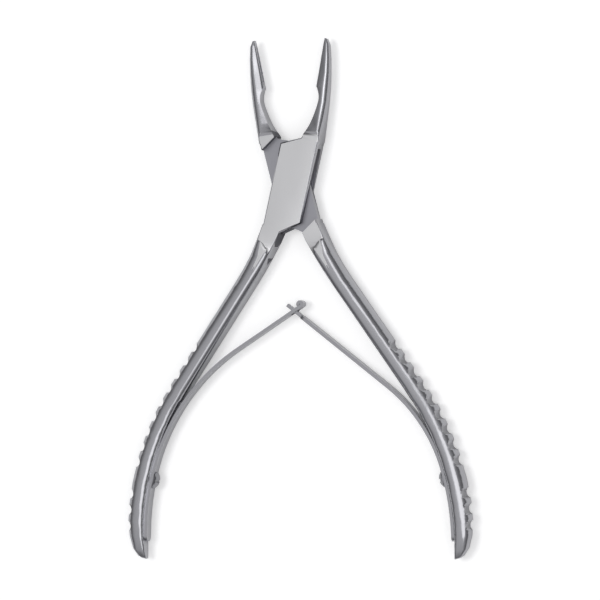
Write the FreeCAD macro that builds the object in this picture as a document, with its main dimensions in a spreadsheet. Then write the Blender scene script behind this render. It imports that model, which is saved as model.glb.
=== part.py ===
import FreeCAD, Part
import math
import os
import re

import Sketcher

# Bone rongeur: two crossed levers in a box lock, spoon jaws, scalloped handles, two leaf springs.
# Millimetres. +Z is up through the thickness, +Y points to the jaw tips, the pivot axis is x = y = 0,
# and z = 0 is the underside of the lock. Each lever is drawn as it stands with the jaws closed, then
# turned by half_open about the pivot.

DOC = FreeCAD.newDocument("bone_rongeur")

SIZES = {
    # Lock
    "lock_thick": 7.3,
    "lock_half_wide": 5.05,
    "web_thick": 2.8,
    "web_play": 0.06,
    "edge_break": 0.3,
    "plate_top_far": 11.3,
    "plate_top_near": 13.85,
    "plate_low_far": 8.7,
    "plate_low_near": 12.6,
    "crotch_half": 0.3,
    "step_slant": 30.0,
    "step_up": 12.8,
    "step_down": 11.2,
    "facet_round": 4.35,
    "facet_round_x": 6.4,
    "facet_round_y": 19.9,
    "cutter_reach": 9.0,
    "cutter_deep": 3.0,
    "cutter_through": 40.0,
    "band_reach": 16.0,
    "jaw_lap": 1.6,
    "handle_lap": 2.0,
    "half_open": 13.6,
    # Pivot pin
    "pin_radius": 1.6,
    "pin_play": 0.04,
    # Jaws
    "tip_gap": 0.08,
    "rim_in": 0.73,
    "jaw_root_in": 0.62,
    "jaw_root_y": 14.7,
    "rim_heel_y": 28.4,
    "jaw_tip_y": 41.5,
    "jaw_back_x": 5.2,
    "jaw_back_y": 18.0,
    "jaw_back_bend": 73.0,
    "waist_x": 2.43,
    "waist_y": 23.8,
    "waist_bend": 34.0,
    "heel_bend": 5.5,
    "heel_step": 0.015,
    "cup_axis": 0.35,
    "cup_radius": 1.2,
    "cup_heel_y": 29.4,
    "cup_shoulder_radius": 0.95,
    "cup_shoulder_y": 30.3,
    "cup_deep_y": 31.8,
    "cup_tip_y": 40.2,
    "cup_tip_radius": 0.15,
    "cup_bend": 30.0,
    # Handles
    "grip_reach": 21.8,
    "grip_bend": 70.0,
    "screw_y": 86.5,
    "arm_lean": 20.6,
    "root_bend": 82.0,
    "root_bend_end": 28.0,
    "arm_wide": 4.9,
    "grip_wide": 5.1,
    "groove_radius": 1.4,
    "groove_deep": 1.4,
    "groove_pitch": 4.46,
    "groove_first": 12.6,
    # Leaf springs
    "seat_deep": 0.15,
    "seat_past_foot": 0.25,
    "seat_past_leave": 16.0,
    "seat_cutter": 6.0,
    "leaf_thick": 0.9,
    "leaf_half_wide": 1.9,
    "leaf_tip_half": 1.5,
    "leaf_foot_y": 103.4,
    "leaf_leave_y": 83.0,
    "left_leaf_bend": 57.16,
    "left_leaf_rise": 46.07,
    "left_leaf_run": 19.2,
    "right_leaf_bend": 43.41,
    "right_leaf_rise": 52.4,
    "right_leaf_run": 33.4,
    "taper_from": 18.8,
    "taper_to": -14.0,
    "eye_lead": 2.5,
    "eye_radius": 0.56,
    "eye_turn": 185.0,
    "tongue_lead": 2.4,
    "tongue_root": 3.0,
    "tongue_half": 0.8,
    "window_half_run": 1.3,
    "window_play": 0.3,
    "tongue_cutter": 9.0,
    "foot_round": 1.6,
    # Spring screws
    "head_radius": 2.35,
    "head_rim": 0.25,
    "head_high": 1.4,
    "head_play": 0.06,
    "driver_slot_wide": 0.7,
    "driver_slot_deep": 0.65,
    "shank_radius": 1.2,
    "shank_play": 0.15,
    "shank_long": 3.6,
    "shank_room": 0.3,
    "slot_cutter": 1.0,
}

# Cross-sections along each jaw: height above the pivot, half thickness, inner and outer edge radius,
# and how far the back is drawn in.
JAW_STATIONS = {
    "jaw_a": (13.6, 3.9, 0.3, 0.5, 0.0),
    "jaw_b": (16.5, 3.65, 0.6, 1.2, 0.0),
    "jaw_c": (20.5, 2.95, 0.8, 1.7, 0.0),
    "jaw_d": (24.5, 2.5, 0.8, 1.7, 0.0),
    "jaw_e": (28.5, 2.3, 0.6, 1.8, 0.0),
    "jaw_f": (32.5, 1.9, 0.5, 1.5, 0.0),
    "jaw_g": (36.5, 1.75, 0.4, 1.2, 0.0),
    "jaw_h": (40.1, 1.45, 0.3, 0.9, 0.0),
    "jaw_i": (41.5, 1.0, 0.25, 0.5, 0.5),
}

# The same along each handle, measured down from the pivot.
HANDLE_STATIONS = {
    "handle_a": (11.2, 3.85, 0.35, 0.6, 0.0),
    "handle_b": (15.5, 3.95, 0.8, 1.3, 0.0),
    "handle_c": (20.0, 4.0, 1.5, 2.6, 0.0),
    "handle_d": (24.0, 4.0, 1.75, 3.0, 0.0),
    "handle_e": (28.0, 4.0, 1.8, 3.1, 0.0),
    "handle_f": (60.0, 3.65, 1.8, 3.1, 0.0),
    "handle_g": (67.0, 3.55, 1.8, 3.05, 0.0),
    "handle_h": (74.0, 3.5, 1.8, 3.0, 0.0),
    "handle_i": (81.0, 3.5, 1.8, 3.0, 0.0),
    "handle_j": (88.0, 3.5, 1.8, 3.0, 0.0),
    "handle_k": (94.0, 3.4, 1.75, 2.95, 0.0),
    "handle_l": (99.0, 3.2, 1.6, 2.7, 0.1),
    "handle_m": (103.0, 2.8, 1.3, 2.3, 0.6),
    "handle_n": (106.0, 2.15, 0.9, 1.5, 1.5),
    "handle_o": (107.6, 1.4, 0.5, 0.8, 2.8),
    "handle_p": (108.0, 1.0, 0.35, 0.55, 3.7),
}

STATION_FIELDS = ("at", "half", "round_in", "round_out", "drawn_in")

# The lever whose handle is on the left has its jaw on the right (+1), and the other way round.
SIDES = {"left": 1, "right": -1}


def make_sheet():
    """Write every driving size into the spreadsheet, one alias each."""
    sheet = DOC.addObject("Spreadsheet::Sheet", "Sizes")
    sizes = dict(SIZES)
    for stations in (JAW_STATIONS, HANDLE_STATIONS):
        for name, values in stations.items():
            for field, number in zip(STATION_FIELDS, values):
                sizes[f"{name}_{field}"] = number
    for row, (name, number) in enumerate(sizes.items(), start=1):
        sheet.set(f"A{row}", name)
        sheet.set(f"B{row}", str(number))
        sheet.setAlias(f"B{row}", name)
    DOC.recompute()
    return sheet, sizes


SHEET, NAMES = make_sheet()


def formula(text):
    """Turn a formula of size names into one that reads the sheet."""
    return re.sub(r"[a-z]\w*", lambda word: "Sizes." + word[0] if word[0] in NAMES else word[0], str(text))


def value(text):
    """The number that a formula has now."""
    return float(SHEET.evalExpression(formula(text)))


def bind(thing, prop, text):
    thing.setExpression(prop, formula(text))


def plane(body, role):
    return next(item for item in body.Origin.OriginFeatures if item.Role == role)


def new_body(name, turn):
    """A body turned about the pivot by turn (+1 or -1) times half_open."""
    body = DOC.addObject("PartDesign::Body", name)
    body.Label = name
    axis = FreeCAD.Vector(0, 0, turn)
    body.Placement = FreeCAD.Placement(FreeCAD.Vector(), FreeCAD.Rotation(axis, value("half_open")))
    bind(body, "Placement.Rotation.Angle", "half_open")
    return body


def new_sketch(body, name, role, shift=("0", "0", "0")):
    """An empty sketch on an origin plane, moved by formulas in the plane's own axes."""
    sketch = body.newObject("Sketcher::SketchObject", name)
    sketch.AttachmentSupport = [(plane(body, role), "")]
    sketch.MapMode = "FlatFace"
    for axis, text in zip("xyz", shift):
        bind(sketch, f"AttachmentOffset.Base.{axis}", text)
    return sketch


def arc_between(start, end, radius, turn, long_way=False):
    """Arc from start to end; turn +1 runs anticlockwise, -1 clockwise."""
    middle = (start + end) * 0.5
    chord = end - start
    rise = math.sqrt(max(radius ** 2 - (chord.Length / 2) ** 2, 0.0))
    left = FreeCAD.Vector(-chord.y, chord.x, 0).normalize()
    centre = middle + left * rise * turn * (-1 if long_way else 1)
    first, last = (start, end) if turn > 0 else (end, start)
    begin = math.atan2(first.y - centre.y, first.x - centre.x)
    finish = math.atan2(last.y - centre.y, last.x - centre.x)
    if finish < begin:
        finish += 2 * math.pi
    circle = Part.Circle(centre, FreeCAD.Vector(0, 0, 1), radius)
    return Part.ArcOfCircle(circle, begin, finish)


def outline(sketch, corners):
    """Closed outline. A corner is (x, y) or (x, y, radius, turn) where an arc leads to the next one."""
    points = [FreeCAD.Vector(value(corner[0]), value(corner[1]), 0) for corner in corners]
    count = len(corners)
    for index, corner in enumerate(corners):
        start = points[index]
        end = points[(index + 1) % count]
        if len(corner) == 2:
            sketch.addGeometry(Part.LineSegment(start, end), False)
            continue
        arc = arc_between(start, end, value(corner[2]), corner[3], len(corner) > 4)
        sketch.addGeometry(arc, False)
    ends = []
    for index in range(count):
        edge = sketch.Geometry[index]
        swapped = (edge.StartPoint - points[index]).Length > 1e-5
        ends.append((2, 1) if swapped else (1, 2))
    for index, corner in enumerate(corners):
        following = (index + 1) % count
        joint = ("Coincident", index, ends[index][1], following, ends[following][0])
        sketch.addConstraint(Sketcher.Constraint(*joint))
    for index, corner in enumerate(corners):
        for kind, number, text in (("DistanceX", points[index].x, corner[0]),
                                   ("DistanceY", points[index].y, corner[1])):
            spot = sketch.addConstraint(Sketcher.Constraint(kind, -1, 1, index, ends[index][0], number))
            bind(sketch, f"Constraints[{spot}]", text)
        if len(corner) > 2:
            spot = sketch.addConstraint(Sketcher.Constraint("Radius", index, value(corner[2])))
            bind(sketch, f"Constraints[{spot}]", corner[2])
    return sketch


def pad(body, name, sketch, length):
    feature = body.newObject("PartDesign::Pad", name)
    feature.Profile = sketch
    bind(feature, "Length", length)
    return feature


def pocket(body, name, sketch, length, side="One side", upward=False):
    """Cut away from the sketch plane, below it unless upward is set."""
    feature = body.newObject("PartDesign::Pocket", name)
    feature.Profile = sketch
    feature.SideType = side
    feature.Reversed = upward
    bind(feature, "Length", length)
    return feature


def round_edges(body, base, kind, size, wanted):
    """Fillet or chamfer the edges of base that wanted picks."""
    DOC.recompute()
    names = [f"Edge{n}" for n, edge in enumerate(base.Shape.Edges, start=1) if wanted(edge)]
    feature = body.newObject(f"PartDesign::{kind}", f"{base.Name}_{kind.lower()}")
    feature.Base = (base, names)
    bind(feature, "Radius" if kind == "Fillet" else "Size", size)
    return feature


def rim_x(at):
    """Distance of the jaw's inner line from the closing line, at a height above the pivot."""
    if value(f"{at}-rim_heel_y") <= 0:
        return "jaw_root_in"
    return f"(tip_gap+(rim_in-tip_gap)*(jaw_tip_y-{at})/(jaw_tip_y-rim_heel_y))"


def jaw_back(at):
    """Outer side of the jaw: straight beside the lock, then one long bend to the tip."""
    if value(f"{at}-jaw_back_y") <= 0:
        return "jaw_back_x"
    return f"(jaw_back_x-jaw_back_bend+sqrt(jaw_back_bend^2-({at}-jaw_back_y)^2))"


BEND_TOP_X = "(grip_reach-grip_bend*(1-cos(arm_lean)))"
BEND_TOP_Y = "(screw_y-grip_bend*sin(arm_lean))"
BEND_CENTRE_X = "(grip_reach-grip_bend)"


def handle_wall(down):
    """Inner wall of the handle: root bend, straight arm, then the grip's long bend."""
    if value(f"{down}-{BEND_TOP_Y}") > 0:
        return f"({BEND_CENTRE_X}+sqrt(grip_bend^2-({down}-screw_y)^2))"
    arm = f"({BEND_TOP_X}-({BEND_TOP_Y}-{down})*tan(arm_lean))"
    if value(f"{down}-root_bend_end") > 0:
        return arm
    return f"({arm}+(root_bend_end-{down})^2/(2*root_bend))"


def handle_back(down):
    """Outer side of the handle, a little wider round the grip than along the arm."""
    if value(f"{down}-{BEND_TOP_Y}") > 0:
        return f"({BEND_CENTRE_X}+sqrt((grip_bend+grip_wide)^2-({down}-screw_y)^2))"
    share = f"({down}/{BEND_TOP_Y})"
    return f"({handle_wall(down)}+(arm_wide+(grip_wide-arm_wide)*{share}^4)/cos(arm_lean))"


def rounded_section(body, name, height, sign, near, far, half, round_in, round_out):
    """Section across the lever: four rounded corners, wide radii outside and small ones inside."""
    sketch = new_sketch(body, name, "XZ_Plane", ("0", "lock_thick/2", f"-({height})"))
    corners = [
        (f"{sign}*{near}", f"{sign}*({half}-{round_in})"),
        (f"{sign}*{near}", f"-{sign}*({half}-{round_in})", round_in, 1),
        (f"{sign}*({near}+{round_in})", f"-{sign}*{half}"),
        (f"{sign}*({far}-{round_out})", f"-{sign}*{half}", round_out, 1),
        (f"{sign}*{far}", f"-{sign}*({half}-{round_out})"),
        (f"{sign}*{far}", f"{sign}*({half}-{round_out})", round_out, 1),
        (f"{sign}*({far}-{round_out})", f"{sign}*{half}"),
        (f"{sign}*({near}+{round_in})", f"{sign}*{half}", round_in, 1),
    ]
    return outline(sketch, corners)


def loft(body, name, sections):
    feature = body.newObject("PartDesign::AdditiveLoft", name)
    feature.Profile = sections[0]
    feature.Sections = sections[1:]
    feature.Ruled = True
    return feature


def add_lock(body, side):
    """Lock block of full thickness; side is +1 for a jaw on the right, -1 for one on the left."""
    sketch = new_sketch(body, f"{body.Name}_lock_outline", "XY_Plane")
    low = "(handle_a_at+handle_lap)"
    root = handle_wall(low)
    corners = [
        (f"-{side}*lock_half_wide", "plate_top_far"),
        (f"{side}*crotch_half", "plate_top_near"),
        (f"{side}*jaw_root_in", "jaw_root_y"),
        (f"{side}*jaw_root_in", "jaw_a_at+jaw_lap"),
        (f"{side}*lock_half_wide", "jaw_a_at+jaw_lap"),
        (f"{side}*lock_half_wide", "-plate_low_far"),
        (f"-{side}*crotch_half", "-plate_low_near"),
        (f"-{side}*{root}", f"-{low}"),
        (f"-{side}*lock_half_wide", f"-{low}"),
    ]
    outline(sketch, corners)
    block = pad(body, f"{body.Name}_lock", sketch, "lock_thick")
    return round_edges(body, block, "Chamfer", "edge_break", flat_edge)


def flat_edge(edge):
    """True for an edge that lies in the lock's top or bottom face."""
    box = edge.BoundBox
    return box.ZLength < 1e-6


def add_jaw(body, side):
    """Loft the jaw from the lock to its tip."""
    sections = []
    for name in JAW_STATIONS:
        at = f"{name}_at"
        far = f"({jaw_back(at)}-{name}_drawn_in)"
        args = (rim_x(at), far, f"{name}_half", f"{name}_round_in", f"{name}_round_out")
        sections.append(rounded_section(body, f"{body.Name}_{name}", at, side, *args))
    return loft(body, f"{body.Name}_jaw", sections)


def add_handle(body, side):
    """Loft the handle from the lock to its rounded end."""
    sections = []
    for name in HANDLE_STATIONS:
        at = f"{name}_at"
        far = f"({handle_back(at)}-{name}_drawn_in)"
        args = (handle_wall(at), far, f"{name}_half", f"{name}_round_in", f"{name}_round_out")
        sections.append(rounded_section(body, f"{body.Name}_{name}", f"-{at}", -side, *args))
    return loft(body, f"{body.Name}_handle", sections)


def cut_facets(body, side):
    """Mill both faces of the lock flat; the cutter stops in an arc where the handle's round body begins."""
    for place, lift, upward in (("top", "lock_thick", True), ("low", "0", False)):
        sketch = new_sketch(body, f"{body.Name}_facet_{place}", "XY_Plane", ("0", "0", lift))
        corners = [
            (f"-{side}*cutter_reach", "jaw_c_at"),
            (f"{side}*cutter_reach", "jaw_c_at"),
            (f"{side}*cutter_reach", "-facet_round_y"),
            (f"-{side}*(facet_round_x-facet_round)", "-facet_round_y", "facet_round", side),
            (f"-{side}*facet_round_x", "-(facet_round_y-facet_round)"),
            (f"-{side}*cutter_reach", "-(facet_round_y-facet_round)"),
        ]
        outline(sketch, corners)
        pocket(body, f"{body.Name}_facet_{place}_cut", sketch, "cutter_deep", upward=upward)


def crossing(body, name, side, lift):
    """Band between the two slanting shoulders where the other lever passes."""
    along = ("band_reach*cos(step_slant)", "band_reach*sin(step_slant)")
    up = ("step_up*sin(step_slant)", "step_up*cos(step_slant)")
    low = ("step_down*sin(step_slant)", "step_down*cos(step_slant)")
    sketch = new_sketch(body, name, "XY_Plane", ("0", "0", lift))
    corners = [
        (f"{side}*({up[0]}-{along[0]})", f"{up[1]}+{along[1]}"),
        (f"{side}*({up[0]}+{along[0]})", f"{up[1]}-{along[1]}"),
        (f"{side}*({along[0]}-{low[0]})", f"-{low[1]}-{along[1]}"),
        (f"-{side}*({low[0]}+{along[0]})", f"{along[1]}-{low[1]}"),
    ]
    return outline(sketch, corners)


def cut_slot(body, side):
    """Slot through the box for the other lever's web."""
    lift = "(lock_thick-web_thick)/2-web_play"
    sketch = crossing(body, f"{body.Name}_slot_outline", side, lift)
    pocket(body, f"{body.Name}_slot", sketch, "web_thick+2*web_play", upward=True)


def cut_web(body, side):
    """Thin the lock down to its web, so that the plates of the box pass above and below it."""
    low = crossing(body, f"{body.Name}_step_low_outline", side, "(lock_thick-web_thick)/2")
    pocket(body, f"{body.Name}_step_low", low, "lock_thick", upward=False)
    high = crossing(body, f"{body.Name}_step_high_outline", side, "(lock_thick+web_thick)/2")
    pocket(body, f"{body.Name}_step_high", high, "lock_thick", upward=True)


def cut_waist(body, side):
    """Relief between the lock and the heel of the spoon, so that only the rims meet."""
    sketch = new_sketch(body, f"{body.Name}_waist_outline", "XY_Plane", ("0", "0", "lock_thick/2"))
    corners = [
        (f"-{side}*jaw_back_x", "rim_heel_y"),
        (f"{side}*(rim_in-heel_step)", "rim_heel_y", "heel_bend", -side),
        (f"{side}*waist_x", "waist_y", "waist_bend", -side),
        (f"{side}*jaw_root_in", "jaw_root_y"),
        (f"-{side}*jaw_back_x", "jaw_root_y"),
    ]
    outline(sketch, corners)
    pocket(body, f"{body.Name}_waist", sketch, "cutter_through", side="Symmetric")


def cut_cup(body, side):
    """Spoon cup, turned about a line along the rim: short and deep at the heel, long to the tip."""
    sketch = new_sketch(body, f"{body.Name}_cup_outline", "XY_Plane", (f"{side}*cup_axis", "0", "lock_thick/2"))
    corners = [
        ("0", "cup_heel_y"),
        ("cup_shoulder_radius", "cup_shoulder_y"),
        ("cup_radius", "cup_deep_y", "cup_bend", 1),
        ("cup_tip_radius", "cup_tip_y"),
        ("0", "cup_tip_y"),
    ]
    outline(sketch, corners)
    groove = body.newObject("PartDesign::Groove", f"{body.Name}_cup")
    groove.Profile = sketch
    groove.ReferenceAxis = (sketch, ["V_Axis"])
    groove.Angle = 360


def groove_place(index):
    """Centre of one grip groove as (across, down): along the arm first, then round the grip's bend."""
    along = f"({index}*groove_pitch-groove_first)"
    stand = "(grip_wide+groove_radius-groove_deep)"
    if value(along) < 0:
        across = f"({BEND_TOP_X}+{stand}*cos(arm_lean)+{along}*sin(arm_lean))"
        down = f"({BEND_TOP_Y}-{stand}*sin(arm_lean)+{along}*cos(arm_lean))"
        return across, down
    turn = f"(arm_lean-{along}/(grip_bend+grip_wide)*180/{math.pi})"
    across = f"({BEND_CENTRE_X}+(grip_bend+{stand})*cos({turn}))"
    down = f"(screw_y-(grip_bend+{stand})*sin({turn}))"
    return across, down


def cut_grooves(body, side):
    """Finger grooves across the back of the grip, with one left out opposite the spring screw."""
    sketch = new_sketch(body, f"{body.Name}_groove_outline", "XY_Plane", ("0", "0", "lock_thick/2"))
    for index in [*range(9), 10, 11, 12]:
        across, down = groove_place(index)
        centre = FreeCAD.Vector(-side * value(across), -value(down), 0)
        circle = Part.Circle(centre, FreeCAD.Vector(0, 0, 1), value("groove_radius"))
        ring = sketch.addGeometry(circle, False)
        for kind, number, text in (("DistanceX", centre.x, f"-{side}*{across}"),
                                   ("DistanceY", centre.y, f"-{down}")):
            spot = sketch.addConstraint(Sketcher.Constraint(kind, -1, 1, ring, 3, number))
            bind(sketch, f"Constraints[{spot}]", text)
        spot = sketch.addConstraint(Sketcher.Constraint("Radius", ring, circle.Radius))
        bind(sketch, f"Constraints[{spot}]", "groove_radius")
    pocket(body, f"{body.Name}_grooves", sketch, "cutter_through", side="Symmetric")


def on_bend(radius, angle):
    """Point on a circle about the grip's bend centre; the angle is measured up from straight out."""
    return f"({BEND_CENTRE_X}+{radius}*cos({angle}))", f"(screw_y-{radius}*sin({angle}))"


FOOT_ANGLE = "(-asin((leaf_foot_y-screw_y)/grip_bend))"
LEAVE_ANGLE = "asin((screw_y-leaf_leave_y)/grip_bend)"


def cut_seat(body, side):
    """Flat-bottomed seat for the leaf, milled into the inner wall; it runs out above the leaf's bend."""
    radius = "(grip_bend+seat_deep)"
    low = on_bend(radius, f"({FOOT_ANGLE}-seat_past_foot*1 deg)")
    high = on_bend(radius, f"({LEAVE_ANGLE}+seat_past_leave*1 deg)")
    sketch = new_sketch(body, f"{body.Name}_seat_outline", "XY_Plane", ("0", "0", "lock_thick/2"))
    corners = [
        (f"-{side}*{low[0]}", f"-{low[1]}", radius, -side),
        (f"-{side}*{high[0]}", f"-{high[1]}"),
        (f"-{side}*({high[0]}-seat_cutter)", f"-{high[1]}"),
        (f"-{side}*({low[0]}-seat_cutter)", f"-{low[1]}"),
    ]
    outline(sketch, corners)
    pocket(body, f"{body.Name}_seat", sketch, "cutter_through", side="Symmetric")


def cut_bore(body, name, radius):
    """Bore for the pivot pin."""
    sketch = new_sketch(body, f"{name}_outline", "XY_Plane", ("0", "0", "lock_thick/2"))
    sketch.addGeometry(Part.Circle(FreeCAD.Vector(), FreeCAD.Vector(0, 0, 1), value(radius)), False)
    sketch.addConstraint(Sketcher.Constraint("Coincident", 0, 3, -1, 1))
    spot = sketch.addConstraint(Sketcher.Constraint("Radius", 0, value(radius)))
    bind(sketch, f"Constraints[{spot}]", radius)
    pocket(body, name, sketch, "cutter_through", side="Symmetric")


def cut_screw_hole(body, name, side, radius, depth):
    """Hole square to the grip's wall at screw_y, as deep as depth to each side of that wall."""
    shift = ("-screw_y", "lock_thick/2", f"-{side}*(grip_reach+seat_deep)")
    sketch = new_sketch(body, f"{name}_outline", "YZ_Plane", shift)
    sketch.addGeometry(Part.Circle(FreeCAD.Vector(), FreeCAD.Vector(0, 0, 1), value(radius)), False)
    sketch.addConstraint(Sketcher.Constraint("Coincident", 0, 3, -1, 1))
    spot = sketch.addConstraint(Sketcher.Constraint("Radius", 0, value(radius)))
    bind(sketch, f"Constraints[{spot}]", radius)
    pocket(body, name, sketch, f"2*({depth})", side="Symmetric")


def make_half(name, side, is_box):
    """One lever: lock, jaw and handle in one piece. The box takes the web of the other one."""
    body = new_body(name, -side)
    add_lock(body, side)
    add_jaw(body, side)
    add_handle(body, side)
    cut_facets(body, side)
    cut_waist(body, side)
    cut_cup(body, side)
    if is_box:
        cut_slot(body, side)
        cut_bore(body, f"{name}_bore", "pin_radius")
    else:
        cut_web(body, side)
        cut_bore(body, f"{name}_bore", "pin_radius+pin_play")
    cut_seat(body, side)
    cut_screw_hole(body, f"{name}_screw_hole", side, "shank_radius", "shank_long+shank_room")
    cut_grooves(body, side)
    return body


def leaf_path(hand):
    """Radius of the leaf's middle line along the grip, and the centre of its bend away from it."""
    radius = "(grip_bend+seat_deep-leaf_thick/2)"
    leave = on_bend(radius, LEAVE_ANGLE)
    bend = f"{hand}_leaf_bend"
    centre = (f"({leave[0]}-{bend}*cos({LEAVE_ANGLE}))", f"({leave[1]}+{bend}*sin({LEAVE_ANGLE}))")
    return radius, centre


def leaf_point(hand, offset, run):
    """Point beside the leaf's straight run: offset is outward from its middle, run is along it."""
    centre = leaf_path(hand)[1]
    bend, rise = f"{hand}_leaf_bend", f"{hand}_leaf_rise"
    across = f"({centre[0]}+({bend}+{offset})*cos(90-{rise})-({run})*cos({rise}))"
    down = f"({centre[1]}-({bend}+{offset})*sin(90-{rise})-({run})*sin({rise}))"
    return across, down


def leaf_box(body, name, hand, start, end, lift):
    """Rectangle across the leaf between two places on its straight run."""
    side = SIDES[hand]
    reach = "(2*leaf_thick)"
    spots = [leaf_point(hand, reach, start), leaf_point(hand, reach, end)]
    spots += [leaf_point(hand, f"(0-{reach})", end), leaf_point(hand, f"(0-{reach})", start)]
    sketch = new_sketch(body, name, "XY_Plane", ("0", "0", lift))
    return outline(sketch, [(f"-{side}*{across}", f"-{down}") for across, down in spots])


def make_leaf(hand):
    """Leaf spring: foot bent to the grip's wall, a tighter bend away from it, then a straight run."""
    name, side = f"{hand}_spring_leaf", SIDES[hand]
    body = new_body(name, -side)
    radius = leaf_path(hand)[0]
    half = "(leaf_thick/2)"
    outer = f"({radius}+{half})"
    inner = f"({radius}-{half})"
    rolled = hand == "left"
    run = f"{hand}_leaf_run"
    lead = f"({run}+eye_lead)" if rolled else f"({run}+tongue_lead)"
    spots = [
        (*on_bend(outer, FOOT_ANGLE), outer, -side),
        (*on_bend(outer, LEAVE_ANGLE), f"({hand}_leaf_bend+{half})", -side),
        leaf_point(hand, half, "0"),
        leaf_point(hand, half, lead),
        leaf_point(hand, f"(0-{half})", lead),
        (*leaf_point(hand, f"(0-{half})", "0"), f"({hand}_leaf_bend-{half})", side),
        (*on_bend(inner, LEAVE_ANGLE), inner, side),
        on_bend(inner, FOOT_ANGLE),
    ]
    sketch = new_sketch(body, f"{name}_outline", "XY_Plane", ("0", "0", "lock_thick/2-leaf_half_wide"))
    outline(sketch, [(f"-{side}*{spot[0]}", f"-{spot[1]}", *spot[2:]) for spot in spots])
    blank = pad(body, f"{name}_blank", sketch, "2*leaf_half_wide")
    foot_y = -value("leaf_foot_y")
    round_edges(body, blank, "Fillet", "foot_round", lambda edge: foot_edge(edge, foot_y))
    if rolled:
        add_eye(body, hand, lead)
    taper_leaf(body, name, side)
    if rolled:
        cut_window(body, hand, run)
    else:
        cut_tongue(body, hand, run)
    cut_screw_hole(body, f"{name}_hole", side, "shank_radius+shank_play", "2*leaf_thick")
    return body


def cut_window(body, hand, run):
    """Window in the rolled leaf for the other leaf's tongue."""
    lift = "lock_thick/2-tongue_half-window_play"
    ends = (f"{run}-window_half_run", f"{run}+window_half_run")
    window = leaf_box(body, f"{body.Name}_window_outline", hand, *ends, lift)
    pocket(body, f"{body.Name}_window", window, "2*(tongue_half+window_play)", upward=True)


def cut_tongue(body, hand, run):
    """Narrow the leaf's end to a tongue."""
    for place, lift, upward in (("low", "lock_thick/2-tongue_half", False),
                                ("high", "lock_thick/2+tongue_half", True)):
        ends = (f"{run}-tongue_root", f"{run}+tongue_cutter")
        cut = leaf_box(body, f"{body.Name}_tongue_{place}", hand, *ends, lift)
        pocket(body, f"{body.Name}_tongue_{place}_cut", cut, "lock_thick", upward=upward)


def foot_edge(edge, foot_y):
    """True for the short edges across the leaf's thickness at its foot."""
    box = edge.BoundBox
    thick = value("leaf_thick")
    near_foot = abs(box.Center.y - foot_y) < thick
    return near_foot and box.ZLength < 1e-6 and edge.Length < 1.5 * thick


def add_eye(body, hand, lead):
    """Roll the leaf's end back on itself, three quarters of a turn."""
    name, side = body.Name, SIDES[hand]
    half = "(leaf_thick/2)"
    hub = leaf_point(hand, "eye_radius", lead)
    start_angle = f"({hand}_leaf_rise-90)"
    end_angle = f"({hand}_leaf_rise+eye_turn)"

    def spot(radius, angle):
        return f"({hub[0]}-{radius}*cos({angle}))", f"({hub[1]}-{radius}*sin({angle}))"

    big = f"(eye_radius+{half})"
    small = f"(eye_radius-{half})"
    spots = [
        (*spot(big, start_angle), big, side, "long"),
        spot(big, end_angle),
        (*spot(small, end_angle), small, -side, "long"),
        spot(small, start_angle),
    ]
    sketch = new_sketch(body, f"{name}_eye_outline", "XY_Plane", ("0", "0", "lock_thick/2-leaf_half_wide"))
    outline(sketch, [(f"-{side}*{corner[0]}", f"-{corner[1]}", *corner[2:]) for corner in spots])
    pad(body, f"{name}_eye", sketch, "2*leaf_half_wide")


def taper_leaf(body, name, side):
    """Narrow the leaf evenly from its bend to its tip, on both faces."""
    for place, sign in (("top", 1), ("low", -1)):
        sketch = new_sketch(body, f"{name}_taper_{place}", "XZ_Plane", ("0", "lock_thick/2", "0"))
        corners = [
            (f"-{side}*taper_from", f"{sign}*leaf_half_wide"),
            (f"-{side}*taper_to", f"{sign}*leaf_tip_half"),
            (f"-{side}*taper_to", f"{sign}*lock_thick"),
            (f"-{side}*taper_from", f"{sign}*lock_thick"),
        ]
        outline(sketch, corners)
        pocket(body, f"{name}_taper_{place}_cut", sketch, "2*leaf_foot_y+cutter_through", side="Symmetric")


def make_screw(hand):
    """Spring screw: domed head on the leaf, slot for a driver, shank in the handle."""
    name, side = f"{hand}_spring_screw", SIDES[hand]
    body = new_body(name, -side)
    shift = (f"-{side}*(grip_reach+seat_deep-leaf_thick-head_play)", "-screw_y", "lock_thick/2")
    sketch = new_sketch(body, f"{name}_outline", "XY_Plane", shift)
    shank = "(shank_long+leaf_thick+head_play)"
    dome = "((head_radius^2+(head_high-head_rim)^2)/(2*(head_high-head_rim)))"
    corners = [
        (f"-{side}*{shank}", "0"),
        (f"{side}*head_high", "0", dome, side),
        (f"{side}*head_rim", "head_radius"),
        ("0", "head_radius"),
        ("0", "shank_radius"),
        (f"-{side}*{shank}", "shank_radius"),
    ]
    outline(sketch, corners)
    turned = body.newObject("PartDesign::Revolution", f"{name}_turned")
    turned.Profile = sketch
    turned.ReferenceAxis = (sketch, ["H_Axis"])
    turned.Angle = 360
    slot = new_sketch(body, f"{name}_driver_slot", "XY_Plane", shift)
    corners = [
        (f"{side}*(head_high-driver_slot_deep)", "-driver_slot_wide/2"),
        (f"{side}*(head_high+slot_cutter)", "-driver_slot_wide/2"),
        (f"{side}*(head_high+slot_cutter)", "driver_slot_wide/2"),
        (f"{side}*(head_high-driver_slot_deep)", "driver_slot_wide/2"),
    ]
    outline(slot, corners)
    pocket(body, f"{name}_slot", slot, "cutter_through", side="Symmetric")
    return body


def make_pin():
    """Pivot pin, ground flush with both faces of the lock."""
    pin = DOC.addObject("Part::Cylinder", "pivot_pin")
    pin.Label = "pivot_pin"
    bind(pin, "Radius", "pin_radius")
    bind(pin, "Height", "lock_thick")
    return pin


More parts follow.
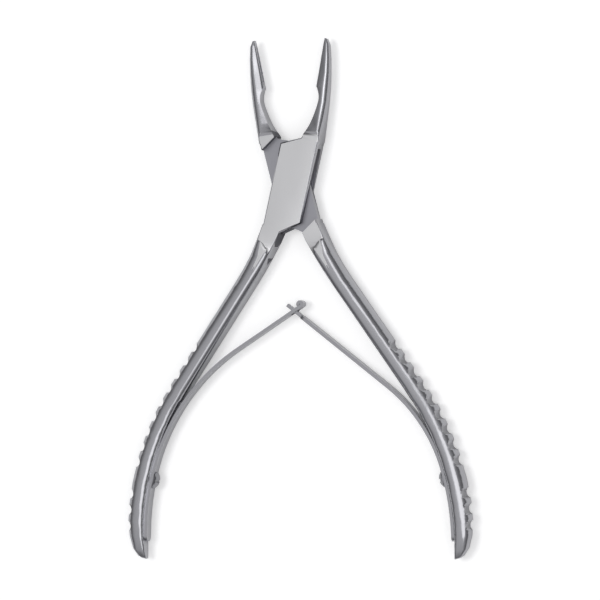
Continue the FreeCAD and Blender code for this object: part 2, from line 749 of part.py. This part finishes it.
def check(parts):
    """Stop if any object failed or any shape is not one valid solid."""
    for item in DOC.Objects:
        if "Invalid" in item.State or "Error" in item.State:
            raise RuntimeError(f"{item.Name}: {item.State}")
    for part in parts:
        if part.Shape.isNull() or not part.Shape.isValid() or len(part.Shape.Solids) != 1:
            raise RuntimeError(f"{part.Label}: bad shape")


def main():
    parts = [
        make_half("female_half", 1, True),
        make_half("male_half", -1, False),
        make_pin(),
        make_leaf("left"),
        make_leaf("right"),
        make_screw("left"),
        make_screw("right"),
    ]
    DOC.recompute()
    check(parts)
    os.makedirs("parts", exist_ok=True)
    for part in parts:
        part.Shape.exportStep(f"parts/{part.Label}.step")
        box = part.Shape.BoundBox
        print(part.Label, round(part.Shape.Volume, 1), [round(v, 2) for v in
              (box.XMin, box.XMax, box.YMin, box.YMax, box.ZMin, box.ZMax)])


main()
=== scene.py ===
# %% [markdown]
# This lesson dresses a bone rongeur, a small spring-handled bone cutter of stainless steel. Its solids
# already exist with their real sizes, so the lesson adds surfaces, screws, light and a camera, and cuts the
# springs across.
# First the frame is loaded, and its box is measured before anything changes.

# %% Load the frame
import math

import bmesh
import bpy
from mathutils import Matrix, Vector


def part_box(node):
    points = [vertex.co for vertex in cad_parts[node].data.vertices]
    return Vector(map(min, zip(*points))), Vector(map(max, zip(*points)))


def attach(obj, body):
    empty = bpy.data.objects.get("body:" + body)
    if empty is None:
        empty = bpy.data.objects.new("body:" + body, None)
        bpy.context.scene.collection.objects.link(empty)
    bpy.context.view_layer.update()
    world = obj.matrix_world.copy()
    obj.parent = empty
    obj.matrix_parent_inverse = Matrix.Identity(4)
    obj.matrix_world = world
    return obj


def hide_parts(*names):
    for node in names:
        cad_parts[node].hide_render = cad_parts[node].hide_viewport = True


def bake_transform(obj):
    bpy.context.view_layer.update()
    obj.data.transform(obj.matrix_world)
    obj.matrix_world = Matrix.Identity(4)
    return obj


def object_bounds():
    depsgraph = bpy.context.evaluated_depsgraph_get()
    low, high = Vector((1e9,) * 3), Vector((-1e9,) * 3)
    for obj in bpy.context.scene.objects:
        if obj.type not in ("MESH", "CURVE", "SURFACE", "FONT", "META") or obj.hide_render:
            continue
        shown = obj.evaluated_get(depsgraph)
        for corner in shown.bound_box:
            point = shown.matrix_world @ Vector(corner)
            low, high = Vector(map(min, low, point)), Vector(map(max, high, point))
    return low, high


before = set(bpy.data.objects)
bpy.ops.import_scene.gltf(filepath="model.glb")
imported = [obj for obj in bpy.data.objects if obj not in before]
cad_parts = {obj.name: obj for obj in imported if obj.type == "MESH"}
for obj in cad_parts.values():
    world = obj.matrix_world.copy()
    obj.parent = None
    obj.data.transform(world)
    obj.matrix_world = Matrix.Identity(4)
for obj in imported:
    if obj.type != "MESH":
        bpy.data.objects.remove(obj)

MM = 0.001
CAD_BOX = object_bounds()
print("CAD box:", CAD_BOX)

# %% [markdown]
# The tool lies flat, and the camera stands above it, a little to its right. A camera could be aimed at
# an empty object, but then it stays upright. Here its matrix is built from the image's own right and up
# directions, so the tool leans by a degree, as in the picture.

# %% Directions of the picture
TILT_RIGHT = 0.2665
LEAN = math.radians(1.0)


def picture_axes():
    """The image's right and up directions and the way to the camera, as unit vectors."""
    flat = math.sqrt(1 - TILT_RIGHT ** 2)
    right = Vector((math.cos(LEAN) * flat, -math.sin(LEAN), -TILT_RIGHT)).normalized()
    up = Vector((math.sin(LEAN), math.cos(LEAN), 0))
    toward = right.cross(up).normalized()
    return right, toward.cross(right).normalized(), toward


RIGHT, UP, TOWARD = picture_axes()
print("Way to the camera:", [round(part, 3) for part in TOWARD])

# %% [markdown]
# The pivot is the one point whose place is known both in the picture and in the frame. The middle of
# the picture is found from it, on the level plane through the middle of the lock's thickness. The
# camera stands far away, which keeps the perspective mild, and its lens follows from that distance, so
# that one pixel on the plane shows the right number of millimetres.

# %% Camera
IMAGE_PX = 600
MM_PER_PX = 0.2712
PIVOT_PX = (292.8, 188.0)
CAMERA_FAR = 900 * MM
CLIP_END = 10
SENSOR = 36.0
LOCK_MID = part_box("pivot_pin")[1].z / 2


def new_object(name, data):
    made = bpy.data.objects.new(name, data)
    bpy.context.scene.collection.objects.link(made)
    return made


def picture_middle():
    """Place at the lock's mid height that the middle of the picture shows."""
    from_pivot = Vector((IMAGE_PX / 2 - PIVOT_PX[0], PIVOT_PX[1] - IMAGE_PX / 2)) * MM_PER_PX * MM
    level = Matrix((RIGHT.xy, UP.xy)).inverted() @ from_pivot
    return Vector((level.x, level.y, LOCK_MID))


def add_camera():
    data = bpy.data.cameras.new("camera")
    camera = new_object("camera", data)
    place = picture_middle() + TOWARD * CAMERA_FAR
    turn = Matrix((RIGHT, UP, TOWARD)).transposed()
    camera.matrix_world = Matrix.Translation(place) @ turn.to_4x4()
    data.sensor_width = SENSOR
    data.lens = SENSOR * CAMERA_FAR / (IMAGE_PX * MM_PER_PX * MM)
    data.clip_end = CLIP_END
    bpy.context.scene.camera = camera
    print("Lens:", round(data.lens, 1), "mm")


add_camera()

# %% [markdown]
# Colours are written as the hex values that a screen shows. Blender's shaders work with linear light,
# so one small function turns a hex value into linear numbers. A second one adds a node with its
# settings and links, which keeps each material short.

# %% Colour and node helpers
def linear(code):
    """Linear RGBA of a hex colour as a screen shows it."""
    parts = [int(code[spot:spot + 2], 16) / 255 for spot in (1, 3, 5)]
    light = [part / 12.92 if part <= 0.04045 else ((part + 0.055) / 1.055) ** 2.4 for part in parts]
    return light + [1.0]


def add_node(tree, kind, values=None, links=None, **settings):
    """Add a node, set its properties and sockets, and link sockets to outputs given as (node, output)."""
    node = tree.nodes.new(kind)
    for name, setting in settings.items():
        setattr(node, name, setting)
    for name, number in (values or {}).items():
        node.inputs[name].default_value = number
    for name, (source, output) in (links or {}).items():
        tree.links.new(source.outputs[output], node.inputs[name])
    return node


def new_material(name):
    material = bpy.data.materials.new(name)
    material.use_nodes = True
    material.node_tree.nodes.clear()
    return material, material.node_tree


print("Hex #808080 is", round(linear("#808080")[0], 3), "in linear light")

# %% [markdown]
# Surgical instruments are forged from martensitic stainless steel, ground, and polished to a mirror.
# The jaws, handles and springs keep that mirror. The buffing wheel leaves a waviness some 5 mm long, so
# the reflections of the room wander a little along the handles, and soft noise that bends the normal
# gives that. The wheel's own marks are finer than a pixel, so they are drawn 0.4 mm wide, to show at
# all, and they only vary the roughness. An image could do the same, but noise has no seams.

# %% Mirror-polished stainless steel
BUFF_WAVE = 5.0 * MM
BUFF_DEPTH = 0.05 * MM
BUFF_GRAIN = 0.4 * MM
BUFF_UNEVEN = 1.25


def polished_steel(name, colour, roughness, waviness):
    material, tree = new_material(name)
    place = add_node(tree, "ShaderNodeTexCoord")
    wave = add_node(tree, "ShaderNodeTexNoise", {"Scale": 1 / BUFF_WAVE, "Detail": 2.0},
                    {"Vector": (place, "Object")})
    grain = add_node(tree, "ShaderNodeTexNoise", {"Scale": 1 / BUFF_GRAIN, "Detail": 3.0},
                     {"Vector": (place, "Object")})
    rough = add_node(tree, "ShaderNodeMapRange",
                     {"To Min": roughness / BUFF_UNEVEN, "To Max": roughness * BUFF_UNEVEN},
                     {"Value": (grain, "Fac")})
    bump = add_node(tree, "ShaderNodeBump", {"Strength": waviness, "Distance": BUFF_DEPTH},
                    {"Height": (wave, "Fac")})
    steel = add_node(tree, "ShaderNodeBsdfPrincipled",
                     {"Base Color": linear(colour), "Metallic": 1.0},
                     {"Roughness": (rough, "Result"), "Normal": (bump, "Normal")})
    add_node(tree, "ShaderNodeOutputMaterial", None, {"Surface": (steel, "BSDF")})
    print("Material:", name)
    return material


forged_steel = polished_steel("stainless steel, mirror polished", "#bdbdc1", roughness=0.18, waviness=0.25)
spring_steel = polished_steel("spring steel, polished", "#bcbcc0", roughness=0.22, waviness=0.2)
screw_steel = polished_steel("stainless screw steel, turned and polished", "#a2a2a6", roughness=0.2,
                             waviness=0.1)

# %% [markdown]
# The flat faces of the box lock are ground after the halves are joined, and so is the end of the pivot
# pin. Grinding leaves fine scratches that scatter the light, so these faces look plain and pale. Real
# scratches are a few hundredths of a millimetre wide, so they are drawn 0.25 mm wide, about one pixel.
# The faces inside the lock were milled before it was closed and stay dull. The short walls between
# these levels get a dark colour, which is painted shade for the shade that falls in the lock's slots.

# %% Ground and milled stainless steel
GRIND_GRIT = 0.25 * MM
GRIND_DEPTH = 0.02 * MM
GRIND_STRENGTH = 0.15


def ground_steel(name, colour, roughness):
    material, tree = new_material(name)
    place = add_node(tree, "ShaderNodeTexCoord")
    grit = add_node(tree, "ShaderNodeTexNoise", {"Scale": 1 / GRIND_GRIT, "Detail": 4.0},
                    {"Vector": (place, "Object")})
    bump = add_node(tree, "ShaderNodeBump", {"Strength": GRIND_STRENGTH, "Distance": GRIND_DEPTH},
                    {"Height": (grit, "Fac")})
    steel = add_node(tree, "ShaderNodeBsdfPrincipled",
                     {"Base Color": linear(colour), "Metallic": 1.0, "Roughness": roughness},
                     {"Normal": (bump, "Normal")})
    add_node(tree, "ShaderNodeOutputMaterial", None, {"Surface": (steel, "BSDF")})
    print("Material:", name)
    return material


lock_steel = ground_steel("stainless steel, satin ground", "#f0f0f1", roughness=0.42)
milled_steel = ground_steel("stainless steel, milled and dull", "#b8b8be", roughness=0.4)
# Painted shade: the dark colour stands for the shade in the lock's slots, not for a finish of the steel.
shaded_wall_steel = ground_steel("stainless steel, milled, with painted shade", "#606066", roughness=0.5)

# %% [markdown]
# A photographer lays such a tool on white and lets soft light fall from above. Polished steel shows the
# room more than itself, so the room matters as much as the steel. It is mid grey overhead and darker
# towards the horizon, and it is given as a row of light levels from the horizon up. Only the camera
# sees it as white, by the camera ray, so the white background adds no light to the steel.

# %% World
ROOM_LEVELS = ((0.0, 0.16, 0.165), (0.45, 0.22, 0.225), (0.8, 0.5, 0.51), (1.0, 0.62, 0.63))


def build_world():
    world = bpy.data.worlds.new("studio")
    bpy.context.scene.world = world
    world.use_nodes = True
    tree = world.node_tree
    tree.nodes.clear()
    place = add_node(tree, "ShaderNodeTexCoord")
    split = add_node(tree, "ShaderNodeSeparateXYZ", None, {"Vector": (place, "Generated")})
    ramp = add_node(tree, "ShaderNodeValToRGB", None, {"Fac": (split, "Z")})
    stops = ramp.color_ramp.elements
    for height, _, _ in ROOM_LEVELS[1:-1]:
        stops.new(height)
    for stop, (_, grey, blue) in zip(stops, ROOM_LEVELS):
        stop.color = (grey, grey, blue, 1)
    room = add_node(tree, "ShaderNodeBackground", {"Strength": 1.0}, {"Color": (ramp, "Color")})
    white = add_node(tree, "ShaderNodeBackground", {"Color": linear("#ffffff"), "Strength": 1.0})
    path = add_node(tree, "ShaderNodeLightPath")
    mix = add_node(tree, "ShaderNodeMixShader", None,
                   {0: (path, "Is Camera Ray"), 1: (room, "Background"), 2: (white, "Background")})
    add_node(tree, "ShaderNodeOutputWorld", None, {"Surface": (mix, "Shader")})
    print("Room light is set at", [round(stop.position, 2) for stop in stops], "of the way up")


build_world()

# %% [markdown]
# The white table top lies just under the tool. Plain white paper under this light would look light grey,
# so a glow that only the camera sees lifts it to white, and the soft shadow stays. More light would
# whiten the paper too, but it would bleach the steel. The steel gets only a small share of the glow,
# because polished steel on a white table shows the table grey.

# %% Floor
FLOOR_HALF = 1.5
FLOOR_DROP = 0.05 * MM
GLOW = 0.38
GLOW_IN_STEEL = 0.02


def white_paper():
    material, tree = new_material("white table top")
    paper = add_node(tree, "ShaderNodeBsdfDiffuse", {"Color": linear("#efefef")})
    path = add_node(tree, "ShaderNodeLightPath")
    in_steel = add_node(tree, "ShaderNodeMath", {1: GLOW_IN_STEEL}, {0: (path, "Is Glossy Ray")},
                        operation="MULTIPLY")
    seen = add_node(tree, "ShaderNodeMath", {1: GLOW},
                    {0: (path, "Is Camera Ray"), 2: (in_steel, "Value")}, operation="MULTIPLY_ADD")
    glow = add_node(tree, "ShaderNodeEmission", {"Color": linear("#ffffff")}, {"Strength": (seen, "Value")})
    total = add_node(tree, "ShaderNodeAddShader", None, {0: (paper, "BSDF"), 1: (glow, "Emission")})
    add_node(tree, "ShaderNodeOutputMaterial", None, {"Surface": (total, "Shader")})
    return material


def build_floor():
    low = CAD_BOX[0].z - FLOOR_DROP
    corners = [(x * FLOOR_HALF, y * FLOOR_HALF, low) for x, y in ((-1, -1), (1, -1), (1, 1), (-1, 1))]
    mesh = bpy.data.meshes.new("floor")
    mesh.from_pydata(corners, [], [(0, 1, 2, 3)])
    mesh.materials.append(white_paper())
    floor = new_object("floor", mesh)
    print("Floor at", round(low / MM, 2), "mm")


build_floor()

# %% [markdown]
# One large soft lamp hangs high on the right, towards the handles. Its reflection runs down the inner
# side of the left handle and along the back of the right grip. A second one on the left throws the
# soft shadow to the right. It is hidden from glossy rays, so the steel shows only the first. A small
# card close to the jaws is seen only by the steel: it brightens the inner slope of the left jaw.

# %% Lamps
LAMP_AIM = (0, -0.03, 0)


def add_lamp(name, place, aim, size, watts):
    data = bpy.data.lights.new(name, "AREA")
    data.shape = "DISK"
    data.size = size
    data.energy = watts
    lamp = new_object(name, data)
    lamp.location = place
    lamp.rotation_euler = (Vector(aim) - Vector(place)).to_track_quat("-Z", "Y").to_euler()
    print(name, "at", place)
    return lamp


add_lamp("soft lamp", place=(0.51, -0.19, 1.15), aim=LAMP_AIM, size=1.0, watts=2.3)
shadow_lamp = add_lamp("shadow lamp", place=(-0.22, 0.05, 1.0), aim=LAMP_AIM, size=0.35, watts=3.0)
shadow_lamp.visible_glossy = False
jaw_card = add_lamp("jaw card", place=(0.136, 0.11, 0.3), aim=(-0.01, 0.03, 0), size=0.13, watts=0.038)
jaw_card.visible_diffuse = False

# %% [markdown]
# The levers' solids are already true to the forging, so their surfaces are reused and not modelled
# again. A solid's mesh comes as loose triangles, so a copy of it is merged into one skin first. It is
# shaded smooth except at real edges, and the large faces lead the shading, so that flat parts beside a
# curve stay flat. The springs and the screws use these helpers too.

# %% Copies and their shading
MERGE_WITHIN = 0.001 * MM
EDGE_ANGLE = 28
LARGE_FACE_LEAD = 90


def own_copy(node, name):
    """A merged copy of a CAD node's mesh, to be finished and shown in its place."""
    copy = new_object(name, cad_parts[node].data.copy())
    form = bmesh.new()
    form.from_mesh(copy.data)
    bmesh.ops.remove_doubles(form, verts=form.verts, dist=MERGE_WITHIN)
    form.to_mesh(copy.data)
    form.free()
    return copy


def smooth_over(piece, angle):
    """Shade smooth, but keep the edges sharper than this many degrees crisp."""
    if piece.data.has_custom_normals:
        piece.data.normals_split_custom_set([(0, 0, 0)] * len(piece.data.loops))
    piece.data.shade_smooth()
    piece.data.set_sharp_from_angle(angle=math.radians(angle))


def even_normals(piece):
    """Let the large faces lead the shading."""
    even = piece.modifiers.new("even normals", "WEIGHTED_NORMAL")
    even.keep_sharp = True
    even.weight = LARGE_FACE_LEAD


def put_on(piece, *finishes):
    """Give a piece these finishes in place of the ones that it came with."""
    piece.data.materials.clear()
    for steel in finishes:
        piece.data.materials.append(steel)


print("Edges sharper than", EDGE_ANGLE, "degrees stay crisp")

# %% [markdown]
# Each jaw is ground down from its crest towards the other jaw, so the left one catches the soft light
# and the right one the dark side of the room. The points of the finished skin are moved towards the
# lock's middle height, which keeps the jaw's outline, where a new loft would have to match it again. A
# station says how far along the jaw it is, how far its crest is from the middle line, and half its
# thickness, all in millimetres and with the jaws closed. The slope fades in beside the lock.

# %% Slope of the jaws
LEVER_TURN = math.radians(13.6)
JAW_SLOPE = 0.4
JAW_LEAST = 0.55
JAW_FADE = (15.4, 17.4)
JAW_STATIONS = ((16.5, 4.0, 3.65), (20.5, 3.45, 2.95), (24.5, 3.2, 2.5), (28.5, 2.65, 2.3),
                (32.5, 2.25, 1.9), (36.5, 1.65, 1.75), (40.1, 0.9, 1.45), (41.5, 0.4, 1.0))


def jaw_station(along):
    """Crest and half thickness of a closed jaw at this distance from the pivot."""
    for low, high in zip(JAW_STATIONS, JAW_STATIONS[1:]):
        if along <= high[0]:
            part = max(0.0, (along - low[0]) / (high[0] - low[0]))
            return low[1] + (high[1] - low[1]) * part, low[2] + (high[2] - low[2]) * part
    return JAW_STATIONS[-1][1:]


def slope_jaw(lever, side):
    """Let both faces of a jaw fall from its crest towards the other jaw."""
    moved = 0
    for vertex in lever.data.vertices:
        across = side * vertex.co.x / MM
        up = vertex.co.y / MM
        along = across * math.sin(LEVER_TURN) + up * math.cos(LEVER_TURN)
        if along < JAW_FADE[0]:
            continue
        crest, half = jaw_station(along)
        inward = max(0.0, crest - across * math.cos(LEVER_TURN) + up * math.sin(LEVER_TURN))
        fade = min(1.0, (along - JAW_FADE[0]) / (JAW_FADE[1] - JAW_FADE[0]))
        squeeze = max(JAW_LEAST, 1 - fade * JAW_SLOPE * inward / half)
        vertex.co.z = LOCK_MID + (vertex.co.z - LOCK_MID) * squeeze
        moved += 1
    print("Jaw slope on", moved, "points")


print("Jaw stations:", len(JAW_STATIONS))

# %% [markdown]
# The skin gets four finishes. The flat faces on the outside of the lock are ground, the level faces
# inside it are milled, the short walls between these levels get a dark steel as painted shade, and all
# the rest is polished.
# Faces that are picked by hand have to be picked again after each change of the solids, so a rule gives
# each face its finish, from where it is and which way it faces.

# %% Finishes of the lock
LEVER_FINISHES = (forged_steel, lock_steel, milled_steel, shaded_wall_steel)
POLISHED, GROUND, MILLED, SHADED_WALL = range(len(LEVER_FINISHES))
LOCK_THICK = LOCK_MID * 2
LOCK_LOW = -21 * MM
LOCK_HIGH = 17 * MM
WEB_LOW = 2.0 * MM
WEB_HIGH = 5.3 * MM
WALL_INNER = 4.9 * MM
STEP_REACH = 9.0 * MM
HEEL_REACH = 7.0 * MM
FLAT_TOLERANCE = 0.02 * MM
LEVEL = 0.999
SLOPING = 0.3
CROSSWISE = 0.5


def finish_of(face):
    """Which finish a lever's face has, from its place and the way it faces."""
    facing = face.normal
    place = face.center
    if not LOCK_LOW < place.y < LOCK_HIGH:
        return POLISHED
    if abs(facing.z) > LEVEL:
        if place.z < FLAT_TOLERANCE or place.z > LOCK_THICK - FLAT_TOLERANCE:
            return GROUND
        return MILLED if WEB_LOW < place.z < WEB_HIGH else POLISHED
    if abs(facing.z) > SLOPING:
        return POLISHED
    reach = STEP_REACH if place.y > 0 else HEEL_REACH
    end_wall = abs(facing.y) > CROSSWISE and abs(place.x) < reach
    # Painted shade: the end walls and the walls near the lock's middle get the dark steel.
    return SHADED_WALL if end_wall or abs(place.x) < WALL_INNER else POLISHED


print("Lever finishes:", [steel.name for steel in LEVER_FINISHES])

# %% [markdown]
# Now both levers are dressed. The lever whose lock is the box carries the right jaw, and the one whose
# lock is the web carries the left jaw, so each needs only its side to slope the jaw the right way.

# %% Dress the levers
def dress_lever(name, node, body, jaw_side):
    lever = own_copy(node, name)
    slope_jaw(lever, jaw_side)
    smooth_over(lever, EDGE_ANGLE)
    even_normals(lever)
    put_on(lever, *LEVER_FINISHES)
    for face in lever.data.polygons:
        face.material_index = finish_of(face)
    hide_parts(node)
    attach(lever, body)
    print(name, len(lever.data.polygons), "faces")


dress_lever("box_lever_skin", "female_half", "box_lever", 1)
dress_lever("web_lever_skin", "male_half", "web_lever", -1)

# %% [markdown]
# The pivot pin is ground flush with the lock. Its solid already has the right form, so it is shown as
# it is, in the lock's ground steel.

# %% Pivot pin
put_on(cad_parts["pivot_pin"], lock_steel)
print("pivot_pin is", lock_steel.name)

# %% [markdown]
# Each leaf spring is held by one domed screw, and both screws are alike. Such a screw is turned on a
# lathe, and its slot is sawn with a thin disc. Geometry Nodes repeat that order, with the sizes as named
# inputs, so one tree serves for both screws. The head comes first: a bar of the head's radius, cut by a
# large ball, is a dome whose seat is at height 0.

# %% Head of the screw
SCREW_SIZES = {"Head radius": 2.35 * MM, "Head height": 1.4 * MM, "Dome radius": 2.976 * MM,
               "Shank radius": 1.2 * MM, "Shank length": 4.56 * MM, "Slot width": 0.7 * MM,
               "Slot depth": 0.65 * MM}
TURNED_SIDES = 64


def turned_head(tree, sizes):
    high = (sizes, "Head height")
    twice = add_node(tree, "ShaderNodeMath", {1: 2.0}, {0: high}, operation="MULTIPLY")
    bar = add_node(tree, "GeometryNodeMeshCylinder", {"Vertices": TURNED_SIDES},
                   {"Radius": (sizes, "Head radius"), "Depth": (twice, "Value")})
    bar_at = add_node(tree, "ShaderNodeCombineXYZ", None, {"Z": high})
    bar_up = add_node(tree, "GeometryNodeTransform", None,
                      {"Geometry": (bar, "Mesh"), "Translation": (bar_at, "Vector")})
    ball = add_node(tree, "GeometryNodeMeshUVSphere", {"Segments": TURNED_SIDES, "Rings": TURNED_SIDES},
                    {"Radius": (sizes, "Dome radius")})
    sink = add_node(tree, "ShaderNodeMath", None, {0: high, 1: (sizes, "Dome radius")},
                    operation="SUBTRACT")
    ball_at = add_node(tree, "ShaderNodeCombineXYZ", None, {"Z": (sink, "Value")})
    ball_down = add_node(tree, "GeometryNodeTransform", None,
                         {"Geometry": (ball, "Mesh"), "Translation": (ball_at, "Vector")})
    head = add_node(tree, "GeometryNodeMeshBoolean", None, {"Mesh 2": (bar_up, "Geometry")},
                    operation="INTERSECT", solver="EXACT")
    tree.links.new(ball_down.outputs["Geometry"], head.inputs["Mesh 2"])
    return head


print("Screw sizes:", len(SCREW_SIZES), "named inputs")

# %% [markdown]
# The shank is a thinner bar below the head. It starts half way up inside the head, so that the two
# overlap and fuse into one solid. The slot is what a thin block takes away from the top of the dome.

# %% Shank and driver slot
def turned_shank(tree, sizes):
    length = (sizes, "Shank length")
    long = add_node(tree, "ShaderNodeMath", {1: 0.5}, {0: (sizes, "Head height"), 2: length},
                    operation="MULTIPLY_ADD")
    shank = add_node(tree, "GeometryNodeMeshCylinder", {"Vertices": TURNED_SIDES},
                     {"Radius": (sizes, "Shank radius"), "Depth": (long, "Value")})
    half = add_node(tree, "ShaderNodeMath", {1: 0.5}, {0: (long, "Value")}, operation="MULTIPLY")
    low = add_node(tree, "ShaderNodeMath", None, {0: (half, "Value"), 1: length}, operation="SUBTRACT")
    shank_at = add_node(tree, "ShaderNodeCombineXYZ", None, {"Z": (low, "Value")})
    return add_node(tree, "GeometryNodeTransform", None,
                    {"Geometry": (shank, "Mesh"), "Translation": (shank_at, "Vector")})


def slot_block(tree, sizes):
    """Block in the top of the dome, longer than the head is wide and twice as high as the slot is deep."""
    reach = add_node(tree, "ShaderNodeMath", {1: 4.0}, {0: (sizes, "Head radius")}, operation="MULTIPLY")
    deep = add_node(tree, "ShaderNodeMath", {1: 2.0}, {0: (sizes, "Slot depth")}, operation="MULTIPLY")
    block_size = add_node(tree, "ShaderNodeCombineXYZ", None,
                          {"X": (reach, "Value"), "Y": (sizes, "Slot width"), "Z": (deep, "Value")})
    block = add_node(tree, "GeometryNodeMeshCube", None, {"Size": (block_size, "Vector")})
    block_at = add_node(tree, "ShaderNodeCombineXYZ", None, {"Z": (sizes, "Head height")})
    return add_node(tree, "GeometryNodeTransform", None,
                    {"Geometry": (block, "Mesh"), "Translation": (block_at, "Vector")})


print("Turned sides:", TURNED_SIDES)

# %% [markdown]
# The tree joins the three parts as the workshop does, first the turned head and shank, and then the
# saw. Realize Instances and Set Material come last, so that a plain mesh with its steel leaves the tree.

# %% Screw tree
def build_screw_tree():
    tree = bpy.data.node_groups.new("domed screw", "GeometryNodeTree")
    tree.interface.new_socket("Geometry", in_out="OUTPUT", socket_type="NodeSocketGeometry")
    for name in SCREW_SIZES:
        tree.interface.new_socket(name, in_out="INPUT", socket_type="NodeSocketFloat")
    tree.interface.new_socket("Steel", in_out="INPUT", socket_type="NodeSocketMaterial")
    sizes = add_node(tree, "NodeGroupInput")
    head = turned_head(tree, sizes)
    shank = turned_shank(tree, sizes)
    turned = add_node(tree, "GeometryNodeMeshBoolean", None, {"Mesh 2": (head, "Mesh")},
                      operation="UNION", solver="EXACT")
    tree.links.new(shank.outputs["Geometry"], turned.inputs["Mesh 2"])
    block = slot_block(tree, sizes)
    slotted = add_node(tree, "GeometryNodeMeshBoolean", None,
                       {"Mesh 1": (turned, "Mesh"), "Mesh 2": (block, "Geometry")},
                       operation="DIFFERENCE", solver="EXACT")
    real = add_node(tree, "GeometryNodeRealizeInstances", None, {"Geometry": (slotted, "Mesh")})
    dressed = add_node(tree, "GeometryNodeSetMaterial", None,
                       {"Geometry": (real, "Geometry"), "Material": (sizes, "Steel")})
    add_node(tree, "NodeGroupOutput", None, {"Geometry": (dressed, "Geometry")})
    print("Screw tree:", len(tree.nodes), "nodes")
    return tree


screw_tree = build_screw_tree()

# %% [markdown]
# Each screw is made once from the tree, turned into a plain mesh, and laid along its own handle's hole.
# Where the hole is comes from the solid that the new screw replaces: the head's top is its farthest
# point along the screw's axis. So no place is written twice, and the screw follows its solid.

# %% Place the screws
THICKNESS_WAY = Vector((0, 0, 1))


def turned_screw(name):
    """A screw from the tree as a plain mesh, along +Z, with its seat at the origin."""
    screw = new_object(name, bpy.data.meshes.new(name))
    modifier = screw.modifiers.new("domed screw", "NODES")
    modifier.node_group = screw_tree
    for socket in screw_tree.interface.items_tree:
        if socket.in_out == "INPUT":
            modifier[socket.identifier] = SCREW_SIZES.get(socket.name, screw_steel)
    bpy.context.view_layer.update()
    graph = bpy.context.evaluated_depsgraph_get()
    screw.data = bpy.data.meshes.new_from_object(screw.evaluated_get(graph))
    screw.modifiers.clear()
    return screw


def place_screw(name, node, body, side):
    screw = turned_screw(name)
    axis = Vector((-side * math.cos(LEVER_TURN), -math.sin(LEVER_TURN), 0))
    across = axis.cross(THICKNESS_WAY)
    solid = [vertex.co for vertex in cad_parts[node].data.vertices]
    top = max(corner.dot(axis) for corner in solid)
    spread = [corner.dot(across) for corner in solid]
    seat = axis * (top - SCREW_SIZES["Head height"]) + across * (min(spread) + max(spread)) / 2
    turn = Matrix((THICKNESS_WAY, across, axis)).transposed().to_4x4()
    screw.data.transform(Matrix.Translation(seat + THICKNESS_WAY * LOCK_MID) @ turn)
    smooth_over(screw, EDGE_ANGLE)
    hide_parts(node)
    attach(screw, body)
    print(name, len(screw.data.polygons), "faces, head top at", round(top / MM, 2), "mm along its axis")


place_screw("left_domed_screw", "left_spring_screw", "box_lever", -1)
place_screw("right_domed_screw", "right_spring_screw", "web_lever", 1)

# %% [markdown]
# The two leaf springs bend when the handles close. Each leaf is clamped to its own handle at the foot,
# and its tip stays hooked to the other leaf, half way between the handles. Here each leaf is copied
# and cut across at short steps, because a long flat face can't bend, and then fixed in place as it lies.

# %% Leaf springs cut across
LEAF_STEP = 1.5 * MM
LEAF_EDGE_ANGLE = 30
LEFT_START = Vector((-31.4, -57.7, 0)) * MM
RIGHT_START = Vector((30.5, -58.4, 0)) * MM
CROSSING = Vector((0, -33.3, 0)) * MM
PAST_CROSSING = 0.1
FLAT_WITHIN = math.radians(0.5)


def cut_across(mesh, start, end):
    """Cut a mesh across the line from start to end at every step, so that it can bend."""
    form = bmesh.new()
    form.from_mesh(mesh)
    bmesh.ops.dissolve_limit(form, angle_limit=FLAT_WITHIN, verts=form.verts, edges=form.edges)
    run = end - start
    count = int(run.length / LEAF_STEP)
    for index in range(count + 1):
        place = start + run * (index / count)
        parts = form.verts[:] + form.edges[:] + form.faces[:]
        bmesh.ops.bisect_plane(form, geom=parts, plane_co=place, plane_no=run.normalized())
    form.to_mesh(mesh)
    form.free()


def bend_leaf(name, node, start):
    leaf = own_copy(node, name)
    cut_across(leaf.data, start, CROSSING + (CROSSING - start) * PAST_CROSSING)
    smooth_over(leaf, LEAF_EDGE_ANGLE)
    put_on(leaf, spring_steel)
    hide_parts(node)
    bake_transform(leaf)
    print(name, len(leaf.data.polygons), "faces")


bend_leaf("left_leaf_spring", "left_spring_leaf", LEFT_START)
bend_leaf("right_leaf_spring", "right_spring_leaf", RIGHT_START)

# %% [markdown]
# Last, the view is set to plain standard colour.

# %% Finish
view = bpy.context.scene.view_settings
view.view_transform = "Standard"
